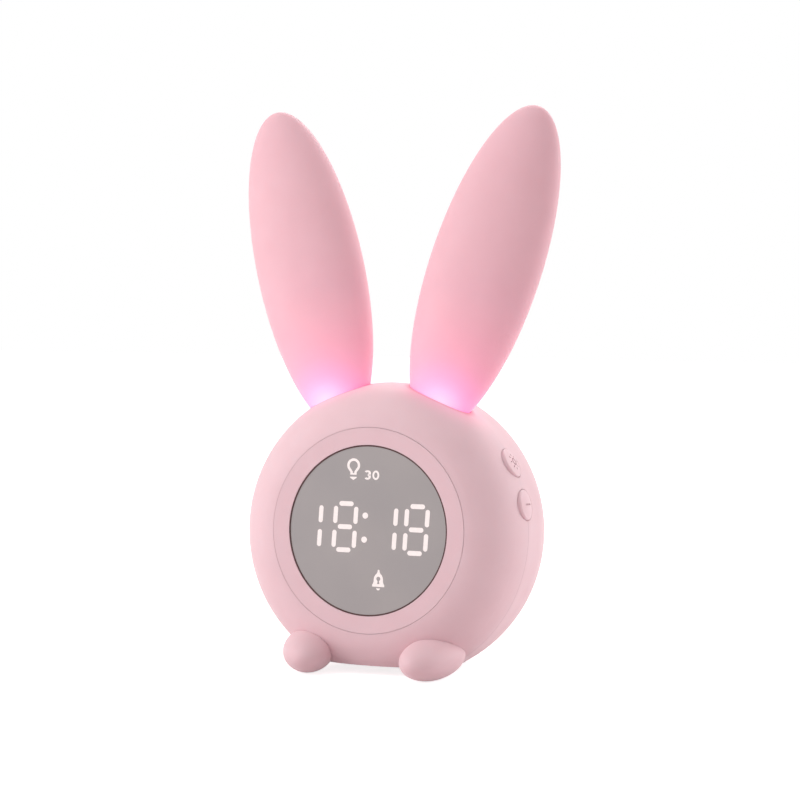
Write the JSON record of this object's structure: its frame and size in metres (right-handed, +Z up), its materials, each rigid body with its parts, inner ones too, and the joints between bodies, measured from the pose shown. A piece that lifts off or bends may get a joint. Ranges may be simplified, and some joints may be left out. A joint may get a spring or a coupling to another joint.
{
  "type": "kids alarm clock with night light",
  "caption": "Round bedside alarm clock for children with a digital display, two glowing rabbit ears, two feet and two sprung buttons on its right side.",
  "frame": {"origin": "centre of the bounding box's underside, on the table, between the front feet and the rear pads", "axes": "+Z up, +Y to the rear of the clock, +X to the right as seen from the front"},
  "size_m": [0.1198, 0.0826, 0.1998],
  "materials": {
    "shell": "satin moulded, pale pink",
    "button": "satin moulded, pale pink",
    "foot": "satin moulded, pale pink",
    "ear": "soft translucent silicone, satin",
    "lens": "smoked acrylic, satin face",
    "gasket": "dark foam",
    "film": "translucent film",
    "mask": "moulded, fine grain",
    "board": "green solder mask",
    "ear_board": "white solder mask",
    "led": "moulded LED packages",
    "white_part": "moulded white",
    "battery": "foil pouch",
    "lead": "insulated wire",
    "switch": "stamped cover",
    "screw": "plated",
    "pad": "matte",
    "speaker_steel": "stamped",
    "cone": "pulp cone"
  },
  "bodies": {
    "clock": {"front_shell": "shell", "rear_shell": "shell", "face_ring": "shell", "display_lens": "lens", "lens_gasket": "gasket", "diffuser_film": "film", "light_mask": "mask", "display_board": "board", "display_leds": "led", "display_socket": "white_part", "ribbon_cable": "white_part", "main_socket": "white_part", "main_board": "board", "control_chips": "mask", "battery": "battery", "battery_tape": "white_part", "left_ear": "ear", "right_ear": "ear", "left_ear_board": "ear_board", "right_ear_board": "ear_board", "left_ear_leds": "led", "right_ear_leds": "led", "left_ear_leads": "lead", "right_ear_leads": "lead", "switch_board": "board", "button_switches": "switch", "switch_leads": "lead", "left_foot": "foot", "right_foot": "foot", "foot_screws": "screw", "rear_pads": "pad", "speaker_frame": "speaker_steel", "speaker_cone": "cone", "speaker_magnet": "speaker_steel", "speaker_retainer": "white_part", "speaker_screws": "screw", "charge_board": "board", "usb_socket": "switch", "reset_switch": "white_part", "charge_board_screws": "screw", "shell_screws": "screw", "main_board_screws": "screw", "display_board_screws": "screw", "battery_leads": "lead", "speaker_leads": "lead", "charge_leads": "lead"},
    "light_key": {"light_button": "button", "light_plunger": "mask"},
    "minus_key": {"minus_button": "button", "minus_plunger": "mask"}
  },
  "joints": [
    {"name": "light_press", "type": "slide", "parent": "clock", "child": "light_key", "axis": [-0.8729, -0.0357, -0.4865], "range_m": [0, 0.0006], "stiffness_N_per_m": 600, "springref_m": -0.0006},
    {"name": "minus_press", "type": "slide", "parent": "clock", "child": "minus_key", "axis": [-0.977, -0.0156, -0.2125], "range_m": [0, 0.0006], "stiffness_N_per_m": 600, "springref_m": -0.0006}
  ]
}
